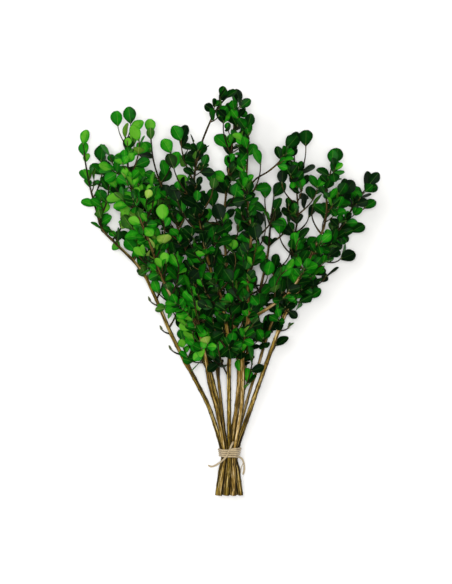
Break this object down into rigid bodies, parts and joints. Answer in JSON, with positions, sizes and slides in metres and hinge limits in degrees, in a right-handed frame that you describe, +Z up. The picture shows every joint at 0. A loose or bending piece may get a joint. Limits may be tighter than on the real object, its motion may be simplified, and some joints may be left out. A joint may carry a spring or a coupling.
{
  "type": "preserved boxwood bunch",
  "caption": "Tied bunch of preserved boxwood branches, cut flat at the base and fanned out at the leafy tips, held by turns of twine and lying on a surface.",
  "frame": {"origin": "On the surface that the bunch lies on, under the middle of the bunch's bounding box.", "axes": "+Y runs from the cut ends to the leafy tips, +X is to the right seen from above with the tips away from the viewer, +Z is up from the surface."},
  "size_m": [0.3301, 0.4509, 0.1105],
  "materials": {
    "foliage_bright": "satin",
    "foliage_mid": "satin",
    "foliage_dark": "satin",
    "twine": "matte"
  },
  "bodies": {
    "root": {"branch_left_outer": "foliage_bright", "branch_left_inner": "foliage_bright", "branch_left_slim": "foliage_mid", "branch_centre_left": "foliage_dark", "branch_centre": "foliage_mid", "branch_centre_right": "foliage_mid", "branch_right_slim": "foliage_dark", "branch_right_outer": "foliage_dark", "branch_back_right": "foliage_dark", "branch_back_left": "foliage_dark", "twine_tie": "twine"}
  },
  "joints": []
}
